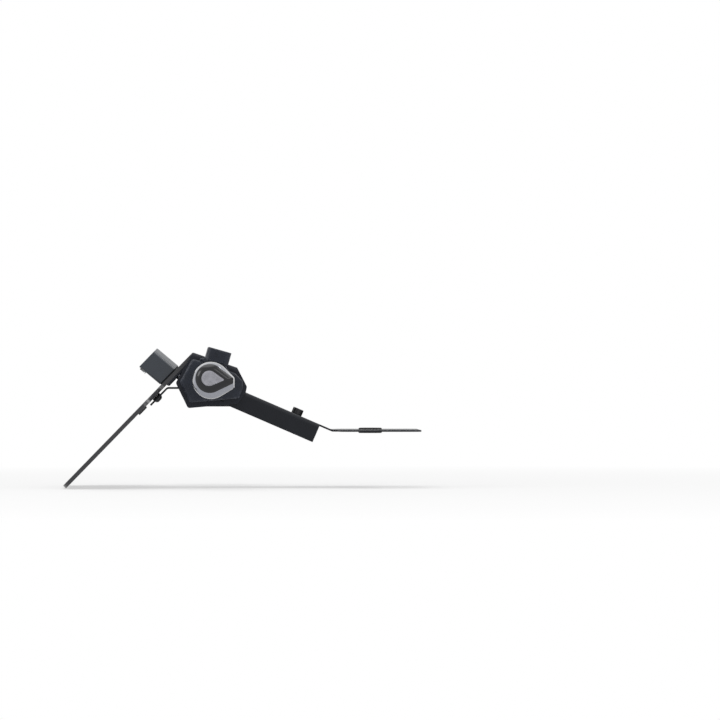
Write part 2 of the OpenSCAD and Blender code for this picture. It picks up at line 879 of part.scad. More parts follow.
module carrier_nuts() {
    color("#3a3b3d") on_carrier() for (s = [-1, 1])
        clinch_nut(s * tab_screw_dy / 2, tab_screw_drop, clinch4_shank_d, clinch4_head_d, m4_d);
}

module plate_nuts() {
    color("#3a3b3d") on_carrier() for (s = [-1, 1])
        clinch_nut(s * plate_bolt_dy / 2, plate_bolt_drop, clinch5_shank_d, clinch5_head_d,
            clinch5_bore_d);
}

// Button-head screws from below the tab
module tab_screws() {
    under = fold_depth + sheet_t / 2 + coat;
    color("#3a3b3d") on_carrier() for (s = [-1, 1]) difference() {
        union() {
            bar_x(s * tab_screw_dy / 2, -tab_screw_drop, m4_d, slip, under);
            translate([under, s * tab_screw_dy / 2, -tab_screw_drop]) rotate([0, 90, 0])
                rotate_extrude() polygon([
                    [0, 0], [m4_head_d / 2, 0], [m4_head_d / 2 - 0.3, 0.8],
                    [m4_head_d / 2 - 1.1, 1.7], [m4_head_d / 2 - 2, m4_head_h], [0, m4_head_h]]);
        }
        bar_x(s * tab_screw_dy / 2, -tab_screw_drop, 2.9, under + 0.8, under + 3, 6);
    }
}

// Plate lamp

module lamp_outline(shrink) {
    w = lamp_w / 2 - shrink;
    top = -lamp_top - shrink;
    bottom = -lamp_top - lamp_h + shrink;
    polygon(rounded([[w, top], [w, bottom], [-w, bottom], [-w, top]],
        [lamp_corner_r - shrink, 2, 2, lamp_corner_r - shrink]));
}

pocket_x0 = -lamp_out + lamp_wall;
pocket_x1 = -gasket_t - lamp_wall;
pocket_half = lamp_w / 2 - lamp_wall - 0.6;
lamp_bottom = lamp_top + lamp_h;

module lamp_housing() {
    color("#26272a") on_carrier() difference() {
        along(-lamp_out, -gasket_t) lamp_outline(0);
        translate([pocket_x0, -pocket_half, -lamp_bottom - 1])
            cube([pocket_x1 - pocket_x0, 2 * pocket_half, lamp_bottom - lamp_pocket_top + 1]);
        for (s = [-1, 1])
            bar_x(s * lamp_stud_dy / 2, -lamp_stud_drop, m4_d, -gasket_t - 8, 1);
        bar_x(0, -gland_drop, lead_d, pocket_x1 - 1, 1);
    }
}

// Clear window in the lamp's lower mouth, with a raised bar along its outer edge
module lamp_lens() {
    bar_t = 1.2;
    color([0.9, 0.93, 0.96, 0.5]) on_carrier() {
        translate([pocket_x0, -pocket_half, -lamp_bottom])
            cube([pocket_x1 - pocket_x0, 2 * pocket_half, lamp_lens_t]);
        translate([pocket_x0, -pocket_half + 1, -lamp_bottom - bar_t])
            cube([6, 2 * pocket_half - 2, bar_t + eps]);
    }
}

module lamp_board() {
    color("#2f6b3a") on_carrier()
        translate([pocket_x0 + slip, -pocket_half + slip, -lamp_pocket_top - board_t])
            cube([pocket_x1 - pocket_x0 - 2 * slip, 2 * (pocket_half - slip), board_t]);
}

module lamp_leds() {
    pitch = 2 * pocket_half / lamp_led_count;
    color("#f4efc8") on_carrier() for (i = [0 : lamp_led_count - 1])
        translate([(pocket_x0 + pocket_x1) / 2 - 2, -pocket_half + (i + 0.5) * pitch - 2,
                -lamp_pocket_top - board_t - led_h])
            cube([4, 4, led_h]);
}

module lamp_gasket() {
    color("#151515") on_carrier() difference() {
        along(-gasket_t, 0) lamp_outline(0.5);
        for (s = [-1, 1])
            bar_x(s * lamp_stud_dy / 2, -lamp_stud_drop, m4_d, -gasket_t - 1, 1);
        bar_x(0, -gland_drop, gland_d, -gasket_t - 1, 1);
    }
}

module lamp_studs() {
    stud_x1 = lip_back + m4_washer_t + m4_thin_nut_h + 1;
    color("#9a9c9f") on_carrier() for (s = [-1, 1])
        bar_x(s * lamp_stud_dy / 2, -lamp_stud_drop, m4_d, -gasket_t - 8, stud_x1);
}

module lamp_washers() {
    color("#a5a7aa") on_carrier() for (s = [-1, 1]) difference() {
        bar_x(s * lamp_stud_dy / 2, -lamp_stud_drop, m4_washer_d, lip_back, lip_back + m4_washer_t);
        bar_x(s * lamp_stud_dy / 2, -lamp_stud_drop, m4_d, lip_back - 1, lip_back + 2);
    }
}

module lamp_nuts() {
    face = lip_back + m4_washer_t;
    color("#8d8f92") on_carrier() for (s = [-1, 1]) difference() {
        bar_x(s * lamp_stud_dy / 2, -lamp_stud_drop, m4_nut_af / cos(30), face,
            face + m4_thin_nut_h, 6);
        bar_x(s * lamp_stud_dy / 2, -lamp_stud_drop, m4_d, face - 1, face + m4_thin_nut_h + 1);
    }
}

// Rubber gland where the lamp's lead leaves through carrier and lip
module lamp_gland() {
    color("#151515") on_carrier() difference() {
        union() {
            bar_x(0, -gland_drop, gland_d, -gasket_t, lip_back);
            bar_x(0, -gland_drop, gland_flange_d, lip_back, lip_back + gland_flange_t);
        }
        bar_x(0, -gland_drop, lead_d, -gasket_t - 1, lip_back + gland_flange_t + 1);
    }
}

main_bracket();
stay_spacers();
grommets();
saddle();
saddle_screws();
saddle_nuts();
adapter_left();
adapter_right();
neck_inserts();
stem_left();
stem_right();
stem_studs();
stem_washers();
stem_nuts();
housing_left();
housing_right();
lens_left();
lens_right();
end_cap_left();
end_cap_right();
end_badge_left();
end_badge_right();
led_board_left();
led_board_right();
leds_left();
leds_right();
plate_carrier();
carrier_nuts();
plate_nuts();
tab_screws();
lamp_housing();
lamp_lens();
lamp_board();
lamp_leds();
lamp_gasket();
lamp_studs();
lamp_washers();
lamp_nuts();
lamp_gland();
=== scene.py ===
import math

import bmesh
import bpy
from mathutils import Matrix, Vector
from mathutils.bvhtree import BVHTree


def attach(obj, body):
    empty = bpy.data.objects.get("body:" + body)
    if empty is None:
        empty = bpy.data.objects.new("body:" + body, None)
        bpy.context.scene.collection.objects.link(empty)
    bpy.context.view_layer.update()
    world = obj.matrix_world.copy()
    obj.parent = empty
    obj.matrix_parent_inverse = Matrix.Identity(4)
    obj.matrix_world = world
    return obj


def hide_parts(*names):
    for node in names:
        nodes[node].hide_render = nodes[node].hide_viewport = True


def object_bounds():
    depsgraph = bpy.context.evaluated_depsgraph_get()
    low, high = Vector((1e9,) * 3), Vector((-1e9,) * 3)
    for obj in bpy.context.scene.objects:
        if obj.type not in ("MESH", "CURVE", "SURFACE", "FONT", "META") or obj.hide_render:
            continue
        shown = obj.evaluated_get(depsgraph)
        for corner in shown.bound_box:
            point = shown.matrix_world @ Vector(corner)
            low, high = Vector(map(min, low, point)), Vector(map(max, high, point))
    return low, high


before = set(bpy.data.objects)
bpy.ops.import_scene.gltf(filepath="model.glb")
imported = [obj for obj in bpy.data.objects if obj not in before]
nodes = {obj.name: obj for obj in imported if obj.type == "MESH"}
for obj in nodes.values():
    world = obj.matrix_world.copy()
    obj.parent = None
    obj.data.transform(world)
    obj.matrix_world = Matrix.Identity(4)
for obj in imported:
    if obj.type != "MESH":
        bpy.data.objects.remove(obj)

cad_box = [list(corner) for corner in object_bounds()]
scene = bpy.context.scene
MM = 0.001
SIDES = ((1, "left"), (-1, "right"))

# Sizes repeated from the part's source, in millimetres
PLATE_BACK = 33.4
SHEET_T = 1.5
CHANNEL_W = 76.0
ARM_SLOPE = math.radians(23.4)
ARM_LEN = 91.5
SADDLE_T = 1.5
ADAPTER_T = 6.0
STEM_BEHIND_KNEE, STEM_ABOVE_HEAD = 20.0, 8.3
STEM_LEN, STEM_D, STEM_FOOT_R, STEM_FOOT_H = 24.0, 15.0, 10.0, 3.0
STUD_D, STUD_BORE_D, STUD_FLANGE_D, STUD_FLANGE_T = 8.0, 4.5, 14.0, 1.5
STUD_WASHER_T, STUD_NUT_H, STUD_PAST_NUT = 1.6, 6.0, 1.5
POD_R, POD_ROOT_R, POD_LEN, CAP_LEN = 15.6, 12.4, 58.0, 13.0
POD_BELOW_STEM, SEAM_BEHIND_POD = 2.3, 2.4
NOSE_REACH, NOSE_R, POD_WALL, BASE_WALL = 19.7, 2.5, 1.8, 2.5
FACE_R, FACE_SHIFT, FACE_TIP = 6.5, (-1.6, 1.8), (11.6, -1.2)
TILT = math.radians(44.2)
CARRIER_T, CLINCH_H, COAT = 3.5, 1.5, 0.03
FOLD_DROP, HEAD_LEN = 36.7, 56.5
LAMP_TOP, LAMP_W, LAMP_CORNER_R = 16.5, 48.0, 9.0
LAMP_POCKET_BELOW, BOARD_T, GASKET_T = 9.5, 1.2, 0.8
LAMP_STUD_SINK, LAMP_STUD_Y, LAMP_STUD_BELOW = 8.0, 14.0, 5.0
M4_D, M4_WASHER_T, M4_THIN_NUT_H, M4_PAST_NUT = 4.0, 0.8, 2.4, 1.0

knee = (-PLATE_BACK - ARM_LEN * math.cos(ARM_SLOPE), -SHEET_T / 2 + ARM_LEN * math.sin(ARM_SLOPE))
head_z = knee[1] + SHEET_T / 2
saddle_out = CHANNEL_W / 2 + SADDLE_T
adapter_out = saddle_out + ADAPTER_T
stem_x, stem_z = knee[0] - STEM_BEHIND_KNEE, head_z + STEM_ABOVE_HEAD
pod_base = adapter_out + STEM_LEN
pod_joint = pod_base + POD_LEN
pod_end = pod_joint + CAP_LEN
pod_centre = (stem_x, stem_z - POD_BELOW_STEM)
seam_x = pod_centre[0] - SEAM_BEHIND_POD
fold_depth = CARRIER_T + CLINCH_H + COAT + SHEET_T / 2
carrier_top = (
    knee[0] - HEAD_LEN - fold_depth * math.cos(TILT) + FOLD_DROP * math.sin(TILT),
    knee[1] + fold_depth * math.sin(TILT) + FOLD_DROP * math.cos(TILT),
)


def mix(a, b, k):
    return a + (b - a) * k


def on_carrier(depth, y, drop):
    """A point given in the carrier's frame: depth ahead of its outer face, and drop down it."""
    return (
        carrier_top[0] + depth * math.cos(TILT) - drop * math.sin(TILT),
        y,
        carrier_top[1] - depth * math.sin(TILT) - drop * math.cos(TILT),
    )


# Materials

# Bump depths in metres
PEEL_DEPTH, GRAIN_DEPTH, RIPPLE_DEPTH = 0.00006, 0.00002, 0.00004
# How squarely a rounded normal faces the real one, on an edge that takes the full edge colour
# (wear, and on the adapters a painted highlight), and on a flat
ON_EDGE, ON_FLAT = 0.82, 0.995
# Specks that break up the edge wear and the adapters' painted edge highlight: how fine they are,
# and the noise that starts and fills them
SPECK_SCALE, SPECK_FROM, SPECK_TO = 380.0, 0.42, 0.72
# How much finer the gloss varies than the colour does
GLOSS_FINER = 2.3
# Clear plastic: how fine its tint and its haze vary, and between which shares
TINT_SCALE, TINT_LOW = 45.0, 0.9
HAZE_SCALE, HAZE_LOW, HAZE_HIGH = 130.0, 0.7, 1.4
ACRYLIC_IOR = 1.49
# An LED's cells: how fine they are, and between which distances the rim's colour comes in
CELL_SCALE, CELL_FROM, CELL_TO = 900.0, 0.1, 0.6
CHIP_ROUGH = 0.3


def shade(colour, k=1.0):
    """The colour made k times as bright, with an alpha of 1."""
    return tuple(min(1.0, c * k) for c in colour) + (1.0,)


def new_material(name, colour, rough):
    """A material with its tree, its shader and the object's coordinates."""
    mat = bpy.data.materials.new(name)
    mat.use_nodes = True
    tree = mat.node_tree
    bsdf = tree.nodes["Principled BSDF"]
    bsdf.inputs["Base Color"].default_value = shade(colour)
    bsdf.inputs["Roughness"].default_value = rough
    coords = tree.nodes.new("ShaderNodeTexCoord").outputs["Object"]
    return mat, tree, bsdf, coords


def noise(tree, coords, scale, detail=3.0):
    n = tree.nodes.new("ShaderNodeTexNoise")
    n.inputs["Scale"].default_value = scale
    n.inputs["Detail"].default_value = detail
    n.inputs["Roughness"].default_value = 0.55
    tree.links.new(coords, n.inputs["Vector"])
    return n.outputs["Fac"]


def spread(tree, value, low, high, start=0.3, end=0.7):
    """Maps start..end of a value to low..high."""
    n = tree.nodes.new("ShaderNodeMapRange")
    n.inputs["From Min"].default_value = start
    n.inputs["From Max"].default_value = end
    n.inputs["To Min"].default_value = low
    n.inputs["To Max"].default_value = high
    tree.links.new(value, n.inputs["Value"])
    return n.outputs["Result"]


def combine(tree, operation, a, b):
    n = tree.nodes.new("ShaderNodeMath")
    n.operation = operation
    tree.links.new(a, n.inputs[0])
    tree.links.new(b, n.inputs[1])
    return n.outputs[0]


def colour_mix(tree, fac, a, b):
    """Mixes two colours, each a tuple or a node's output."""
    n = tree.nodes.new("ShaderNodeMix")
    n.data_type = "RGBA"
    tree.links.new(fac, n.inputs["Factor"])
    # The node's colours are its inputs 6 and 7 and its output 2
    for socket, value in ((n.inputs[6], a), (n.inputs[7], b)):
        if isinstance(value, tuple):
            socket.default_value = value
        else:
            tree.links.new(value, socket)
    return n.outputs[2]


def bump(tree, height, strength, distance, normal=None):
    n = tree.nodes.new("ShaderNodeBump")
    n.inputs["Strength"].default_value = strength
    n.inputs["Distance"].default_value = distance
    tree.links.new(height, n.inputs["Height"])
    if normal is not None:
        tree.links.new(normal, n.inputs["Normal"])
    return n.outputs["Normal"]


def edge_mask(tree, radius):
    """1 along edges and 0 on flats, from how far a rounded normal leans off the real one."""
    rounded = tree.nodes.new("ShaderNodeBevel")
    rounded.samples = 4
    rounded.inputs["Radius"].default_value = radius
    geometry = tree.nodes.new("ShaderNodeNewGeometry")
    dot = tree.nodes.new("ShaderNodeVectorMath")
    dot.operation = "DOT_PRODUCT"
    tree.links.new(rounded.outputs["Normal"], dot.inputs[0])
    tree.links.new(geometry.outputs["Normal"], dot.inputs[1])
    return spread(tree, dot.outputs["Value"], 1.0, 0.0, ON_EDGE, ON_FLAT)


def finish_of(name, colour, rough, metal=0.0, grain=0.0, grain_scale=1800.0, peel=0.0,
              peel_scale=420.0, mottle=0.12, mottle_scale=60.0, rough_var=0.05, edge_wear_and_highlight=0.0,
              edge_wear_and_highlight_colour=None, edge=0.0006, specular=0.5, coat=0.0, coat_rough=0.1):
    """A painted, moulded or metal surface.

    Its colour is mottled and its gloss uneven. It may have grain, orange peel and a lighter
    colour along its edges: wear on most parts, a painted highlight on the adapters.
    """
    mat, tree, bsdf, coords = new_material(name, colour, rough)
    cloud = spread(tree, noise(tree, coords, mottle_scale), 0.0, 1.0)
    base = colour_mix(tree, cloud, shade(colour, 1 - mottle), shade(colour, 1 + mottle))
    gloss = noise(tree, coords, mottle_scale * GLOSS_FINER)
    # A lighter colour along the edges: real edge wear, and on the adapters a painted highlight
    if edge_wear_and_highlight:
        specks = spread(tree, noise(tree, coords, SPECK_SCALE, detail=4.0), 0.0, 1.0,
                        SPECK_FROM, SPECK_TO)
        worn_and_lit_edges = combine(tree, "MULTIPLY", edge_mask(tree, edge), specks)
        base = colour_mix(tree, spread(tree, worn_and_lit_edges, 0.0, edge_wear_and_highlight, 0.0, 1.0), base,
                          shade(edge_wear_and_highlight_colour))
    tree.links.new(base, bsdf.inputs["Base Color"])
    tree.links.new(spread(tree, gloss, rough - rough_var, rough + rough_var),
                   bsdf.inputs["Roughness"])
    bsdf.inputs["Metallic"].default_value = metal
    bsdf.inputs["Specular IOR Level"].default_value = specular
    bsdf.inputs["Coat Weight"].default_value = coat
    bsdf.inputs["Coat Roughness"].default_value = coat_rough
    normal = None
    if peel:
        normal = bump(tree, noise(tree, coords, peel_scale, detail=2.0), peel, PEEL_DEPTH)
    if grain:
        speckle = noise(tree, coords, grain_scale, detail=2.0)
        normal = bump(tree, speckle, grain, GRAIN_DEPTH, normal)
    if normal is not None:
        tree.links.new(normal, bsdf.inputs["Normal"])
    return mat


def clear_plastic(name, colour, rough, ripple, ripple_scale):
    mat, tree, bsdf, coords = new_material(name, colour, rough)
    tone = spread(tree, noise(tree, coords, TINT_SCALE), 0.0, 1.0)
    tint = colour_mix(tree, tone, shade(colour, TINT_LOW), shade(colour))
    haze = spread(tree, noise(tree, coords, HAZE_SCALE), rough * HAZE_LOW, rough * HAZE_HIGH)
    waves = bump(tree, noise(tree, coords, ripple_scale, detail=1.0), ripple, RIPPLE_DEPTH)
    tree.links.new(tint, bsdf.inputs["Base Color"])
    tree.links.new(haze, bsdf.inputs["Roughness"])
    tree.links.new(waves, bsdf.inputs["Normal"])
    bsdf.inputs["Transmission Weight"].default_value = 1.0
    bsdf.inputs["IOR"].default_value = ACRYLIC_IOR
    return mat


def led_chip(name, colour, rim):
    """The speckled face of an LED, which isn't lit."""
    mat, tree, bsdf, coords = new_material(name, colour, CHIP_ROUGH)
    cells = tree.nodes.new("ShaderNodeTexVoronoi")
    cells.inputs["Scale"].default_value = CELL_SCALE
    tree.links.new(coords, cells.inputs["Vector"])
    share = spread(tree, cells.outputs["Distance"], 0.0, 1.0, CELL_FROM, CELL_TO)
    tree.links.new(colour_mix(tree, share, shade(colour), shade(rim)),
                   bsdf.inputs["Base Color"])
    return mat


powder = finish_of("powder_coat", (0.0075, 0.009, 0.013), 0.40, grain=0.25, peel=0.5,
                   edge_wear_and_highlight=0.5, edge_wear_and_highlight_colour=(0.09, 0.095, 0.11), specular=0.22)
saddle_paint = finish_of("saddle_powder_coat", (0.0145, 0.0168, 0.0245), 0.34, grain=0.2,
                         peel=0.55, peel_scale=380.0, edge_wear_and_highlight=0.4, edge_wear_and_highlight_colour=(0.10, 0.105, 0.12),
                         specular=0.2)
carrier_paint = finish_of("carrier_powder_coat", (0.013, 0.013, 0.017), 0.27, grain=0.2,
                          peel=0.5, edge_wear_and_highlight=0.5, edge_wear_and_highlight_colour=(0.13, 0.13, 0.14), coat=0.3,
                          coat_rough=0.12)
# The lighter colour along the adapters' edges, over the wide edge radius, is a painted highlight,
# not wear
nylon = finish_of("adapter_nylon", (0.018, 0.0218, 0.0325), 0.34, grain=0.7, grain_scale=2600.0,
                  peel=0.3, peel_scale=520.0, mottle=0.22, mottle_scale=140.0, edge_wear_and_highlight=1.0,
                  edge_wear_and_highlight_colour=(0.21, 0.22, 0.25), edge=0.0026, specular=0.25)
rubber = finish_of("rubber", (0.012, 0.012, 0.012), 0.62, grain=0.5, grain_scale=1500.0,
                   peel=0.15, mottle=0.2, specular=0.35)
gloss_black = finish_of("gloss_black_plastic", (0.006, 0.006, 0.007), 0.1, grain=0.03,
                        peel=0.05, peel_scale=120.0, rough_var=0.03, coat=0.6, coat_rough=0.04)
cap_black = finish_of("cap_black_plastic", (0.004, 0.0045, 0.007), 0.2, grain=0.05, peel=0.06,
                      peel_scale=140.0, specular=0.3, coat=0.3, coat_rough=0.08)
cap_bevel = finish_of("cap_bevel_smoked_chrome", (0.30, 0.31, 0.345), 0.16, metal=0.75,
                      grain=0.02, peel=0.05, peel_scale=110.0, mottle=0.06, rough_var=0.03,
                      coat=0.4, coat_rough=0.05)
badge_grey = finish_of("badge_grey_plastic", (0.33, 0.33, 0.365), 0.36, grain=0.35,
                       mottle=0.16, mottle_scale=260.0, peel=0.1, specular=0.35)
lamp_plastic = finish_of("lamp_plastic", (0.010, 0.018, 0.031), 0.24, grain=0.5,
                         grain_scale=2200.0, peel=0.15, peel_scale=260.0, edge_wear_and_highlight=0.25,
                         edge_wear_and_highlight_colour=(0.15, 0.15, 0.16), coat=0.35)
black_screw = finish_of("black_screw_steel", (0.035, 0.035, 0.037), 0.34, metal=0.85,
                        grain=0.3, edge_wear_and_highlight=0.8, edge_wear_and_highlight_colour=(0.32, 0.32, 0.33))
zinc = finish_of("zinc_steel", (0.52, 0.54, 0.57), 0.30, metal=1.0, grain=0.35,
                 grain_scale=900.0, mottle=0.14, mottle_scale=220.0, rough_var=0.08)
brass = finish_of("brass", (0.62, 0.42, 0.16), 0.30, metal=1.0, grain=0.3, mottle_scale=300.0)
board_green = finish_of("board_lacquer", (0.02, 0.13, 0.05), 0.28, grain=0.5,
                        grain_scale=700.0, mottle=0.25, mottle_scale=420.0)
tinned = finish_of("tinned_pads", (0.62, 0.62, 0.60), 0.32, metal=1.0, grain=0.5,
                   grain_scale=1400.0)
smoked = clear_plastic("smoked_lens", (0.17, 0.14, 0.12), 0.06, ripple=0.25, ripple_scale=70.0)
clear = clear_plastic("clear_lens", (0.93, 0.95, 0.97), 0.05, ripple=0.4, ripple_scale=240.0)
amber_chip = led_chip("amber_led", (0.85, 0.42, 0.06), rim=(0.9, 0.85, 0.7))
white_chip = led_chip("white_led", (0.92, 0.83, 0.32), rim=(0.92, 0.92, 0.88))


# Mesh helpers

# Degrees between two faces above which their edge counts as sharp, and a value no edge reaches
SHARP, ALL_SMOOTH = 32.0, 180.0
# In metres: points nearer than WELD are one, and a cut runs through points nearer than ON_CUT
WELD, ON_CUT = 2e-6, 1e-6
# Faces that turn less than this from each other are made one
FLAT = math.radians(0.8)
# A bevel's point further than this share of its width from the old surface is drawn back
TOO_FAR = 0.5
# The first cut's place in its step, off the places where a part's own edges lie
FIRST_CUT = 0.43
# A thread's depth as a share of its pitch, points around it, and rows of them to a turn
THREAD_DEPTH, THREAD_SIDES, THREAD_ROWS = 0.54, 28, 6
# A box's faces by its corners' numbers, as box_into makes them
BOX_FACES = ((0, 1, 3, 2), (4, 6, 7, 5), (0, 4, 5, 1), (2, 3, 7, 6), (0, 2, 6, 4), (1, 5, 7, 3))


def add_piece(name, bm, mat, node=None, angle=SHARP):
    """Makes an object from a bmesh in metres; edges sharper than the angle stay crisp."""
    bmesh.ops.recalc_face_normals(bm, faces=bm.faces)
    bm.verts.index_update()
    mesh = bpy.data.meshes.new(name)
    mesh.from_pydata([v.co[:] for v in bm.verts], [],
                     [[v.index for v in f.verts] for f in bm.faces])
    bm.free()
    mesh.polygons.foreach_set("use_smooth", [True] * len(mesh.polygons))
    mesh.set_sharp_from_angle(angle=math.radians(angle))
    mesh.materials.append(mat)
    obj = bpy.data.objects.new(name, mesh)
    scene.collection.objects.link(obj)
    flats = obj.modifiers.new("flat_faces_stay_flat", "WEIGHTED_NORMAL")
    flats.keep_sharp = True
    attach(obj, "root")
    if node:
        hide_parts(node)
    return obj


def stand_for(node, bm, mat, angle=SHARP):
    """Makes the piece that stands for a CAD node, and is named after it."""
    return add_piece(node + "_made", bm, mat, node, angle)


def bevel_edges(bm, width, segments, angle):
    """Breaks the sharp edges.

    A corner too tight for the width is drawn back onto the old surface.
    """
    edges = [e for e in bm.edges
             if len(e.link_faces) == 2 and e.calc_face_angle(0.0) > math.radians(angle)]
    if not edges:
        return
    old = BVHTree.FromBMesh(bm)
    bmesh.ops.bevel(bm, geom=edges, offset=width * MM, segments=segments, profile=0.5,
                    affect="EDGES", clamp_overlap=False, loop_slide=True)
    for v in bm.verts:
        near, _, _, distance = old.find_nearest(v.co)
        if near is not None and distance > TOO_FAR * width * MM:
            v.co = near


def cad_mesh(node):
    """The node's solid as a welded bmesh with its flat faces made whole."""
    bm = bmesh.new()
    bm.from_mesh(nodes[node].data)
    bmesh.ops.remove_doubles(bm, verts=bm.verts, dist=WELD)
    bmesh.ops.dissolve_limit(bm, angle_limit=FLAT, verts=bm.verts, edges=bm.edges)
    return bm


def split_long_faces(bm, step):
    """Cuts the mesh across every step mm; a fold's long thin faces don't shade evenly uncut."""
    for axis in range(3):
        span = [v.co[axis] for v in bm.verts]
        low, high = min(span), max(span)
        along = Vector([1.0 if k == axis else 0.0 for k in range(3)])
        place = low + FIRST_CUT * step * MM
        while place < high:
            bmesh.ops.bisect_plane(bm, geom=bm.verts[:] + bm.edges[:] + bm.faces[:],
                                   dist=ON_CUT, plane_co=along * place, plane_no=along)
            place += step * MM


def dress(node, mat, bevel, segments=2, angle=SHARP, fit=None, step=None):
    """Stands for a CAD node: the same solid with its sharp edges broken.

    bevel is the width in mm of the broken edges, and segments the rows of faces in it.
    fit takes and gives a point in the carrier's frame, and moves the solid's points first.
    step is the distance in mm between the cuts that keep a large part's faces short.
    """
    bm = cad_mesh(node)
    if fit:
        for v in bm.verts:
            x, z = v.co.x / MM - carrier_top[0], v.co.z / MM - carrier_top[1]
            depth = x * math.cos(TILT) - z * math.sin(TILT)
            drop = -x * math.sin(TILT) - z * math.cos(TILT)
            v.co = Vector(on_carrier(*fit(depth, v.co.y / MM, drop))) * MM
    bevel_edges(bm, bevel, segments, angle)
    if step:
        split_long_faces(bm, step)
    stand_for(node, bm, mat, angle)


def evaluated_mesh(obj):
    """The object's mesh with its modifiers applied."""
    return bpy.data.meshes.new_from_object(
        obj.evaluated_get(bpy.context.evaluated_depsgraph_get()))


def moulded(node, mat, voxel, rounds):
    """Stands for a CAD node: the same solid with its edges and inner corners rounded all over.

    voxel is the grid in mm on which the mesh is made anew, and rounds how often it is smoothed.
    """
    mesh = bpy.data.meshes.new("mould")
    bm = cad_mesh(node)
    bm.to_mesh(mesh)
    bm.free()
    obj = bpy.data.objects.new("mould", mesh)
    scene.collection.objects.link(obj)
    remesh = obj.modifiers.new("remesh", "REMESH")
    remesh.mode, remesh.voxel_size = "VOXEL", voxel * MM
    smooth = obj.modifiers.new("smooth", "SMOOTH")
    smooth.factor, smooth.iterations = 0.5, rounds
    result = evaluated_mesh(obj)
    bm = bmesh.new()
    bm.from_mesh(result)
    bpy.data.objects.remove(obj)
    for m in (mesh, result):
        bpy.data.meshes.remove(m)
    stand_for(node, bm, mat, ALL_SMOOTH)


def loft_into(bm, rings, closed=False):
    """Joins rings of points in mm: end to end where closed, or else with a cap on each end."""
    rows = [[bm.verts.new(Vector(p) * MM) for p in ring] for ring in rings]
    n = len(rows[0])
    pairs = list(zip(rows, rows[1:])) + ([(rows[-1], rows[0])] if closed else [])
    for a, b in pairs:
        for j in range(n):
            k = (j + 1) % n
            bm.faces.new((a[j], a[k], b[k], b[j]))
    if not closed:
        bm.faces.new(list(reversed(rows[0])))
        bm.faces.new(rows[-1])


def axes_of(direction):
    """The direction at length one, and two more at right angles to it."""
    d = Vector(direction).normalized()
    u = d.cross(Vector((0.0, 0.0, 1.0)))
    if u.length < 1e-3:
        u = d.cross(Vector((0.0, 1.0, 0.0)))
    u.normalize()
    return d, u, d.cross(u)


def round_point(origin, axes, along, radius, i, sides):
    """The i-th of the points that share out a circle around an axis."""
    d, u, v = axes
    a = 2 * math.pi * i / sides
    return origin + d * along + (u * math.cos(a) + v * math.sin(a)) * radius


def lathe_into(bm, profile, origin, direction, sides):
    """Turns [(radius, along)] about an axis; the profile closes on itself, so it makes a ring."""
    axes, origin = axes_of(direction), Vector(origin)
    loft_into(bm, [[round_point(origin, axes, t, r, i, sides) for i in range(sides)]
                   for r, t in profile], closed=True)


def soften(points):
    """Corner cutting, twice, which rounds every corner of a closed profile."""
    for _ in range(2):
        out = []
        for a, b in zip(points, points[1:] + points[:1]):
            for share in (0.25, 0.75):
                out.append(tuple(mix(p, q, share) for p, q in zip(a, b)))
        points = out
    return points


def box_into(bm, corner, size, place):
    """A box given by corner and size, with place() mapping each point into the frame."""
    pts = [place(corner[0] + a * size[0], corner[1] + b * size[1], corner[2] + c * size[2])
           for a in (0, 1) for b in (0, 1) for c in (0, 1)]
    vs = [bm.verts.new(Vector(p) * MM) for p in pts]
    for f in BOX_FACES:
        bm.faces.new([vs[i] for i in f])


def thread_into(bm, origin, direction, d, length, pitch, bore=0.0):
    """A rod with a real helical thread, chamfered at both ends."""
    axes, origin = axes_of(direction), Vector(origin)
    depth = THREAD_DEPTH * pitch
    rings = []
    count = max(8, int(length / pitch * THREAD_ROWS))
    for i in range(count + 1):
        t = length * i / count
        fade = min(1.0, t / pitch, (length - t) / pitch)
        ring = []
        for j in range(THREAD_SIDES):
            wave = abs(((t / pitch - j / THREAD_SIDES) % 1.0) * 2 - 1)
            r = d / 2 - depth * (1 - fade * wave)
            ring.append(round_point(origin, axes, t, r, j, THREAD_SIDES))
        rings.append(ring)
    if bore:
        for t in (length, 0.0):
            rings.append([round_point(origin, axes, t, bore / 2, j, THREAD_SIDES)
                          for j in range(THREAD_SIDES)])
    loft_into(bm, rings, closed=bool(bore))


# Sheet-metal pieces

dress("main_bracket", powder, bevel=0.28, step=7.0)
dress("saddle", saddle_paint, bevel=0.26, step=6.0)
dress("plate_carrier", carrier_paint, bevel=0.35, step=9.0)

# Adapters and their inserts

for word in ("left", "right"):
    moulded("adapter_" + word, nylon, voxel=0.4, rounds=6)
dress("neck_inserts", brass, bevel=0.25)

# Fasteners

dress("stay_spacers", black_screw, bevel=0.35)
for node, bevel in (("saddle_nuts", 0.35), ("stem_washers", 0.25), ("stem_nuts", 0.6),
                    ("lamp_washers", 0.15), ("lamp_nuts", 0.35)):
    dress(node, zinc, bevel)
for node, bevel in (("saddle_screws", 0.15), ("tab_screws", 0.15), ("carrier_nuts", 0.25),
                    ("plate_nuts", 0.25)):
    dress(node, black_screw, bevel)

# Rubber

# A stem's broken edges, in from the rim and along from the end; its foot's slope, which
# starts below the foot's top, in from its rim, and ends above the top, out from the body
EDGE_IN, EDGE_ALONG = 0.6, 0.8
SLOPE_BELOW, SLOPE_IN, SLOPE_ABOVE, SLOPE_OUT = 1.0, 1.4, 1.0, 0.2
# One groove of a stem's bellows: how deep, and how far along from its middle
BELLOWS = ((0.0, -1.9), (0.0, -1.2), (1.0, -0.7), (1.0, 0.7), (0.0, 1.2), (0.0, 1.9))

dress("grommets", rubber, bevel=0.4, segments=3, angle=24.0)
dress("lamp_gasket", rubber, bevel=0.15)
dress("lamp_gland", rubber, bevel=0.25)


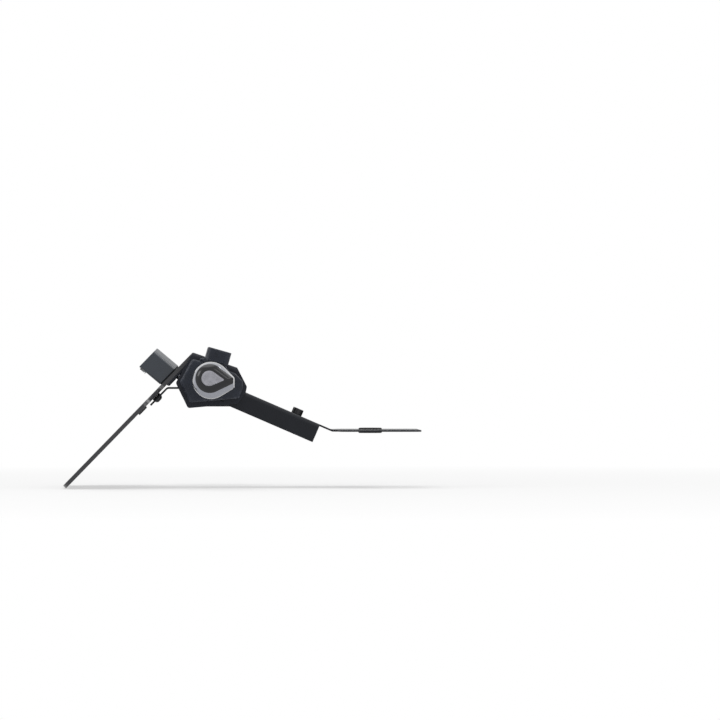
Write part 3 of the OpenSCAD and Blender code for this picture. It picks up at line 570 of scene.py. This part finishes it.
def stem(side, word):
    """A stem from the adapter outwards: a broad foot, then a round body with three grooves."""
    r, bore = STEM_D / 2, STUD_D / 2
    profile = [(bore, 0.0), (STEM_FOOT_R - EDGE_IN, 0.0), (STEM_FOOT_R, EDGE_ALONG),
               (STEM_FOOT_R, STEM_FOOT_H - SLOPE_BELOW), (STEM_FOOT_R - SLOPE_IN, STEM_FOOT_H),
               (r + SLOPE_OUT, STEM_FOOT_H + SLOPE_ABOVE)]
    for i in (1, 2, 3):
        middle = STEM_FOOT_H + i * (STEM_LEN - STEM_FOOT_H) / 4
        profile += [(r - deep, middle + along) for deep, along in BELLOWS]
    profile += [(r, STEM_LEN - EDGE_ALONG), (r - EDGE_IN, STEM_LEN), (bore, STEM_LEN)]
    bm = bmesh.new()
    lathe_into(bm, soften(profile), (stem_x, side * adapter_out, stem_z), (0, side, 0),
               sides=72)
    stand_for("stem_" + word, bm, rubber, angle=50.0)


for side, word in SIDES:
    stem(side, word)


# Indicators: every section is the outline of three circles, a round back and two nose corners.
# A circle is ((x, z), radius), and a section is its circles and how far out it stands.

# Points on each circle's arc, and on the straight run after it
ARC_STEPS, RUN_STEPS = (44, 8, 8), (8, 4, 8)
# Rows of faces along the body: its rounded end, its outside and its inside
ROOT_ROWS, BODY_ROWS, INNER_ROWS = 6, 28, 12
# Rows of faces along the cap's band, bevel and crown
BAND_ROWS, BEVEL_ROWS, CROWN_ROWS = 6, 10, 12
# The nose at the stem's end and at the joint: its middle from the centre, and half its
# height; and how much further it reaches at the joint
NOSE_MIDDLE, NOSE_HALF, NOSE_GROWTH = (-0.8, -2.0), (4.2, 5.7), 5.0
# How fast the body widens away from the stem, and the rounding of its end there
SWELL, ROOT_ROUND = 1.6, 1.8
# The joint's groove, and half the gap between lens and housing
GROOVE, SEAM_GAP = 0.3, 0.08
# The teardrop's small end: radius, and half the distance between its two circles
TIP_R, TIP_HALF = 0.7, 0.15
# The cap from the joint outwards: where its gloss band and its bright bevel end
BAND_END, BEVEL_END = 5.6, 10.2
# How far the gloss band draws in from the body's outline, at its start and at its end
BAND_IN, BEVEL_IN = 0.1, 0.6
# How full the bevel and the crown are in profile
BEVEL_FULL, CROWN_FULL = 0.35, 0.9
# How far past the band's and the bevel's end the next form starts, and the share of its
# way in that the crown has at its start
BEVEL_GAP, CROWN_GAP, CROWN_START = 0.1, 0.12, 0.03
# The crown ends in a rim around the teardrop, and the teardrop lies in a shallow recess
RIM_GROW, RECESS_TOP_GROW, RECESS_FLOOR_GROW, RECESS_DEPTH = 0.6, 0.15, 0.1, 0.5
# How far past the bevel's end the crown's own material starts
CROWN_MATERIAL_GAP = 0.05
# Where the bevel ends, from the centre: it draws in most below the nose
CROWN_EDGE = (((-1.0, 1.6), 12.1), ((16.7, -1.1), 2.0), ((16.7, 1.0), 2.0))
# The badge's rows: out from the teardrop, and below the cap's outer end
BADGE = ((0.0, 0.5), (0.0, 0.3), (-0.08, 0.17), (-0.25, 0.1), (-0.7, 0.06))
# The box that parts lens and housing reaches this far back and up, and past the joint
CUT_BACK, CUT_UP, CUT_OUT = 40.0, 90.0, 5.0


def three_circle_ring(circles, y):
    cut = []
    for i in range(3):
        (ax, az), ra = circles[i]
        (bx, bz), rb = circles[(i + 1) % 3]
        gap = math.hypot(bx - ax, bz - az)
        cut.append(math.atan2(bz - az, bx - ax) - math.acos((ra - rb) / gap))
    ring = []
    for i in range(3):
        (cx, cz), r = circles[i]
        start, end = cut[i - 1], cut[i]
        while end < start:
            end += 2 * math.pi
        for j in range(ARC_STEPS[i] + 1):
            a = mix(start, end, j / ARC_STEPS[i])
            ring.append((cx + r * math.cos(a), y, cz + r * math.sin(a)))
        (nx, nz), nr = circles[(i + 1) % 3]
        p = ring[-1]
        q = (nx + nr * math.cos(cut[i]), y, nz + nr * math.sin(cut[i]))
        ring += [tuple(mix(s, t, j / RUN_STEPS[i]) for s, t in zip(p, q))
                 for j in range(1, RUN_STEPS[i])]
    return ring


def section_loft(side, sections):
    """Lofts the sections on one side of the bike: 1 for left, -1 for right."""
    bm = bmesh.new()
    loft_into(bm, [three_circle_ring(circles, side * out) for circles, out in sections])
    return bm


def steps(count, first=0):
    """Even shares up to 1: from 0, or without the start where first is 1."""
    return [i / count for i in range(first, count + 1)]


def pod_circles(k, grow):
    """The body's outline: k runs from 0 at the stem's end to 1 at the joint."""
    k = 1 - (1 - k) ** SWELL
    nose_x = pod_centre[0] + mix(NOSE_REACH - NOSE_GROWTH, NOSE_REACH, k) - NOSE_R
    middle = pod_centre[1] + mix(*NOSE_MIDDLE, k)
    half = mix(*NOSE_HALF, k) - NOSE_R
    return [
        (pod_centre, mix(POD_ROOT_R, POD_R, k) + grow),
        ((nose_x, middle - half), NOSE_R + grow),
        ((nose_x, middle + half), NOSE_R + grow),
    ]


def face_circles(grow):
    """The teardrop on the indicator's end."""
    cx, cz = (c + d for c, d in zip(pod_centre, FACE_SHIFT))
    return [
        ((cx, cz), FACE_R + grow),
        ((cx + FACE_TIP[0], cz + FACE_TIP[1] - TIP_HALF), TIP_R + grow),
        ((cx + FACE_TIP[0], cz + FACE_TIP[1] + TIP_HALF), TIP_R + grow),
    ]


def between(a, b, k):
    return [((mix(p[0][0], q[0][0], k), mix(p[0][1], q[0][1], k)), mix(p[1], q[1], k))
            for p, q in zip(a, b)]


def pod_cup(side):
    """The hollow body without its cap: outside from base to joint, then the inside back."""
    sections = []
    for k in steps(ROOT_ROWS):
        a = math.pi / 2 * k
        sections.append((pod_circles(0.0, -ROOT_ROUND * (1 - math.sin(a))),
                         pod_base + ROOT_ROUND * (1 - math.cos(a))))
    for k in steps(BODY_ROWS, 1):
        sections.append((pod_circles(k, 0.0), mix(pod_base + ROOT_ROUND, pod_joint - GROOVE, k)))
    sections.append((pod_circles(1.0, -GROOVE), pod_joint))
    for k in steps(INNER_ROWS):
        sections.append((pod_circles(1 - k, -POD_WALL),
                         mix(pod_base + BASE_WALL, pod_joint, 1 - k)))
    bm = section_loft(side, sections)
    bmesh.ops.recalc_face_normals(bm, faces=bm.faces)
    return bm


def cut_by_box(bm, low, high, operation):
    """Cuts a mesh with a box, exactly, and gives the result."""
    box = bmesh.new()
    box_into(box, low, [b - a for a, b in zip(low, high)], lambda x, y, z: (x, y, z))
    bmesh.ops.recalc_face_normals(box, faces=box.faces)
    meshes, objects = [], []
    for name, source in (("cut_body", bm), ("cut_tool", box)):
        mesh = bpy.data.meshes.new(name)
        source.to_mesh(mesh)
        source.free()
        obj = bpy.data.objects.new(name, mesh)
        scene.collection.objects.link(obj)
        meshes.append(mesh)
        objects.append(obj)
    cut = objects[0].modifiers.new("cut", "BOOLEAN")
    cut.operation, cut.object, cut.solver = operation, objects[1], "EXACT"
    result = evaluated_mesh(objects[0])
    out = bmesh.new()
    out.from_mesh(result)
    for obj in objects:
        bpy.data.objects.remove(obj)
    for mesh in meshes + [result]:
        bpy.data.meshes.remove(mesh)
    return out


def body_and_lens(side, word):
    y0, y1 = sorted((side * (pod_base + BASE_WALL), side * (pod_joint + CUT_OUT)))
    for name, edge, operation, mat, slot in (
            ("lens_", seam_x - SEAM_GAP, "INTERSECT", smoked, "smoked_lens"),
            ("housing_", seam_x + SEAM_GAP, "DIFFERENCE", gloss_black, "gloss_black")):
        bm = cut_by_box(pod_cup(side), (seam_x - CUT_BACK, y0, 0.0), (edge, y1, CUT_UP),
                        operation)
        bevel_edges(bm, width=0.15, segments=1, angle=50.0)
        stand_for(name + word, bm, mat, angle=40.0)


def end_cap(side, word):
    """A groove at the joint, a gloss band, a bright bevel, then a low satin crown."""
    outer, face = pod_circles(1.0, -BEVEL_IN), face_circles(RIM_GROW)
    edge = [((pod_centre[0] + x, pod_centre[1] + z), r) for (x, z), r in CROWN_EDGE]
    sections = [(outer, pod_joint), (pod_circles(1.0, -BAND_IN), pod_joint + GROOVE)]
    for k in steps(BAND_ROWS, 1):
        sections.append((pod_circles(1.0, mix(-BAND_IN, -BEVEL_IN, k * k)),
                         pod_joint + mix(GROOVE, BAND_END, k)))
    for k in steps(BEVEL_ROWS, 1):
        sections.append((between(outer, edge, mix(k, k * k, BEVEL_FULL)),
                         pod_joint + mix(BAND_END + BEVEL_GAP, BEVEL_END, k)))
    for k in steps(CROWN_ROWS):
        rise = math.sin(math.pi / 2 * k) ** CROWN_FULL
        sections.append((between(edge, face, mix(CROWN_START, 1.0, k)),
                         pod_joint + mix(BEVEL_END + CROWN_GAP, CAP_LEN, rise)))
    sections += [(face_circles(RECESS_TOP_GROW), pod_end),
                 (face_circles(RECESS_FLOOR_GROW), pod_end - RECESS_DEPTH)]
    cap = stand_for("end_cap_" + word, section_loft(side, sections), cap_bevel,
                    angle=60.0)
    cap.data.materials.append(cap_black)
    cap.data.materials.append(gloss_black)
    on_bevel, on_crown, on_band = range(3)
    for polygon in cap.data.polygons:
        out = abs(polygon.center.y) / MM - pod_joint
        if out > BEVEL_END + CROWN_MATERIAL_GAP:
            polygon.material_index = on_crown
        else:
            polygon.material_index = on_band if out < BAND_END else on_bevel


def end_badge(side, word):
    bm = section_loft(side, [(face_circles(grow), pod_end - below) for grow, below in BADGE])
    stand_for("end_badge_" + word, bm, badge_grey, angle=60.0)


for side, word in SIDES:
    body_and_lens(side, word)
    end_cap(side, word)
    end_badge(side, word)

# Boards and light sources of the indicators

for word in ("left", "right"):
    dress("led_board_" + word, board_green, bevel=0.08, segments=1)
for word in ("left", "right"):
    dress("leds_" + word, amber_chip, bevel=0.15)

# Studs

M8_PITCH, M4_PITCH = 1.25, 0.7
# Beyond its thread the indicator's stud is plain
STUD_THREAD_LEN, STUD_PLAIN_R = 19.0, 3.6


def ring_profile(inner, outer, height):
    return [(inner, 0.0), (outer, 0.0), (outer, height), (inner, height)]


stud_inner = CHANNEL_W / 2 - STUD_WASHER_T - STUD_NUT_H - STUD_PAST_NUT
stud_outer = pod_base + BASE_WALL
plain = ring_profile(STUD_BORE_D / 2, STUD_PLAIN_R, stud_outer - stud_inner - STUD_THREAD_LEN)
flange = soften(ring_profile(STUD_BORE_D / 2, STUD_FLANGE_D / 2, STUD_FLANGE_T))
bm = bmesh.new()
for s in (1, -1):
    thread_into(bm, (stem_x, s * stud_inner, stem_z), (0, s, 0), STUD_D, STUD_THREAD_LEN,
                M8_PITCH, bore=STUD_BORE_D)
    for profile, start in ((plain, stud_inner + STUD_THREAD_LEN), (flange, stud_outer)):
        lathe_into(bm, profile, (stem_x, s * start, stem_z), (0, s, 0), sides=48)
stand_for("stem_studs", bm, zinc)

lip_back = CARRIER_T + COAT + SADDLE_T
stud_len = GASKET_T + LAMP_STUD_SINK + lip_back + M4_WASHER_T + M4_THIN_NUT_H + M4_PAST_NUT
bm = bmesh.new()
for s in (1, -1):
    start = on_carrier(-GASKET_T - LAMP_STUD_SINK, s * LAMP_STUD_Y, LAMP_TOP + LAMP_STUD_BELOW)
    thread_into(bm, start, (math.cos(TILT), 0, -math.sin(TILT)), M4_D, stud_len, M4_PITCH)
stand_for("lamp_studs", bm, zinc)

# Plate lamp

# How far the lamp's upper and lower faces sink for each mm away from the carrier
LAMP_LEAN = 0.075
# Shoulder from side to top: distance in from the side, and below the top
SHOULDER = ((0.0, 5.4), (0.25, 4.4), (0.95, 3.65), (3.6, 2.75), (6.8, 1.7), (10.6, 0.45),
            (12.8, 0.0))
# How near a point lies to the round corner's quarter, and to its arc, to belong to it
IN_QUARTER, ON_ARC = 0.01, 0.05


def lamp_lean(depth, y, drop):
    """The lamp's upper and lower faces lean, lower at its outer end."""
    return depth, y, drop - LAMP_LEAN * depth


def lamp_shoulder(depth, y, drop):
    """The solid's round corner becomes a sloping shoulder, then the lamp leans."""
    side = abs(y) - (LAMP_W / 2 - LAMP_CORNER_R)
    up = LAMP_TOP + LAMP_CORNER_R - drop
    off_arc = abs(math.hypot(side, up) - LAMP_CORNER_R)
    if side > -IN_QUARTER and up > -IN_QUARTER and off_arc < ON_ARC:
        k = math.atan2(max(up, 0.0), max(side, 0.0)) / (math.pi / 2) * (len(SHOULDER) - 1)
        i = min(int(k), len(SHOULDER) - 2)
        inset, below = (mix(a, b, k - i) for a, b in zip(SHOULDER[i], SHOULDER[i + 1]))
        y, drop = math.copysign(LAMP_W / 2 - inset, y), LAMP_TOP + below
    return lamp_lean(depth, y, drop)


dress("lamp_housing", lamp_plastic, bevel=0.6, segments=3, fit=lamp_shoulder,
      step=8.0)
dress("lamp_lens", clear, bevel=0.2, fit=lamp_lean, step=6.0)
dress("lamp_board", board_green, bevel=0.08, segments=1, fit=lamp_lean)
dress("lamp_leds", white_chip, bevel=0.15, fit=lamp_lean)

# Tinned pads beside the three LEDs, and two resistors with tinned ends between them. Each is a
# box on the board, with its size away from the carrier, across, and off the board.
PAD, RESISTOR, RESISTOR_END = (3.4, 1.2, 0.15), (1.6, 2.2, 0.6), (1.7, 0.8, 0.62)
PAD_OFF_LED, END_OFF_RESISTOR = 2.6, 1.5
BOARD_MIDDLE, LED_PITCH = -12.5, 14.4
board_face = LAMP_TOP + LAMP_POCKET_BELOW + BOARD_T


def board_box(bm, y, size):
    corner = (BOARD_MIDDLE - size[0] / 2, y - size[1] / 2, board_face)
    box_into(bm, corner, size, lambda *point: on_carrier(*lamp_lean(*point)))


pads, resistors = bmesh.new(), bmesh.new()
for k in (-1, 0, 1):
    for s in (1, -1):
        board_box(pads, k * LED_PITCH + s * PAD_OFF_LED, PAD)
for k in (-0.5, 0.5):
    board_box(resistors, k * LED_PITCH, RESISTOR)
    for s in (1, -1):
        board_box(pads, k * LED_PITCH + s * END_OFF_RESISTOR, RESISTOR_END)
add_piece("lamp_board_pads", pads, tinned)
add_piece("lamp_board_resistors", resistors, gloss_black)

# Floor, light and camera, in metres

FLOOR_BELOW, FLOOR_HALF = 0.0005, 60.0
# Seen directly, the floor is part white up to PAPER_R from the middle and all white from WHITE_R
PAPER_R, WHITE_R, PART_WHITE = 0.25, 1.1, 0.55
PAPER, WHITE = (0.9, 0.9, 0.9, 1.0), (1.0, 1.0, 1.0, 1.0)
WORLD_STRENGTH = 0.45
# Where the lights point; their name, place, size and power in watts
SUBJECT = (-0.13, 0.0, 0.03)
SOFTBOXES = (
    ("top_softbox", (-0.35, -0.2, 1.9), (1.8, 1.4), 13.0),
    ("strip_softbox", (1.25, 0.1, 1.5), (1.7, 0.55), 8.0),
    ("rear_softbox", (-1.9, -0.9, 0.9), (0.8, 0.9), 9.0),
    ("near_softbox", (1.3, -1.9, 1.2), (1.2, 1.2), 8.0),
)
# What the camera's frame spans at AIM, and the sensor's width in millimetres
AIM, EYE = Vector((-0.0102, -0.046, 0.0595)), Vector((-0.17, -5.0, 0.053))
VIEW_W, SENSOR_W = 0.612, 36.0

floor_z = cad_box[0][2] - FLOOR_BELOW
floor_mesh = bpy.data.meshes.new("floor")
floor_mesh.from_pydata(
    [(x * FLOOR_HALF, y * FLOOR_HALF, floor_z) for x, y in ((-1, -1), (1, -1), (1, 1), (-1, 1))],
    [], [(0, 1, 2, 3)])
floor = bpy.data.objects.new("floor", floor_mesh)
scene.collection.objects.link(floor)


def seen_directly(tree):
    """1 for camera, glossy and transmission rays."""
    path = tree.nodes.new("ShaderNodeLightPath")
    total = path.outputs["Is Camera Ray"]
    for key in ("Is Glossy Ray", "Is Transmission Ray"):
        total = combine(tree, "MAXIMUM", total, path.outputs[key])
    return total


def output_mix(tree, kind, fac, a, b):
    """Ends the tree in an output that mixes two shaders."""
    out = tree.nodes.new(kind)
    blend = tree.nodes.new("ShaderNodeMixShader")
    tree.links.new(fac, blend.inputs["Fac"])
    tree.links.new(a.outputs[0], blend.inputs[1])
    tree.links.new(b.outputs[0], blend.inputs[2])
    tree.links.new(blend.outputs[0], out.inputs["Surface"])


floor_mat = bpy.data.materials.new("floor_paper")
floor_mat.use_nodes = True
tree = floor_mat.node_tree
tree.nodes.clear()
paper = tree.nodes.new("ShaderNodeBsdfDiffuse")
paper.inputs["Color"].default_value = PAPER
white = tree.nodes.new("ShaderNodeEmission")
white.inputs["Color"].default_value = WHITE
white.inputs["Strength"].default_value = 1.0
coords = tree.nodes.new("ShaderNodeTexCoord")
length = tree.nodes.new("ShaderNodeVectorMath")
length.operation = "LENGTH"
tree.links.new(coords.outputs["Object"], length.inputs[0])
ring = spread(tree, length.outputs["Value"], PART_WHITE, 1.0, PAPER_R, WHITE_R)
output_mix(tree, "ShaderNodeOutputMaterial",
           combine(tree, "MULTIPLY", ring, seen_directly(tree)), paper, white)
floor_mesh.materials.append(floor_mat)

world = bpy.data.worlds.new("studio")
scene.world = world
world.use_nodes = True
tree = world.node_tree
tree.nodes.clear()
soft = tree.nodes.new("ShaderNodeBackground")
soft.inputs["Strength"].default_value = WORLD_STRENGTH
seen = tree.nodes.new("ShaderNodeBackground")
for n in (soft, seen):
    n.inputs["Color"].default_value = WHITE
output_mix(tree, "ShaderNodeOutputWorld", seen_directly(tree), soft, seen)

for name, place, size, watts in SOFTBOXES:
    data = bpy.data.lights.new(name, "AREA")
    data.shape = "RECTANGLE"
    data.size, data.size_y = size
    data.energy = watts
    lamp = bpy.data.objects.new(name, data)
    lamp.location = place
    lamp.rotation_mode = "QUATERNION"
    lamp.rotation_quaternion = (Vector(SUBJECT) - Vector(place)).to_track_quat("-Z", "Y")
    lamp.visible_camera = False
    scene.collection.objects.link(lamp)

camera_data = bpy.data.cameras.new("camera")
camera = bpy.data.objects.new("camera", camera_data)
scene.collection.objects.link(camera)
camera.location = EYE
camera.rotation_mode = "QUATERNION"
camera.rotation_quaternion = (AIM - EYE).to_track_quat("-Z", "Y")
camera_data.sensor_width = SENSOR_W
camera_data.lens = SENSOR_W * (AIM - EYE).length / VIEW_W
camera_data.clip_start, camera_data.clip_end = 0.1, 200.0
scene.camera = camera
scene.view_settings.view_transform = "Standard"
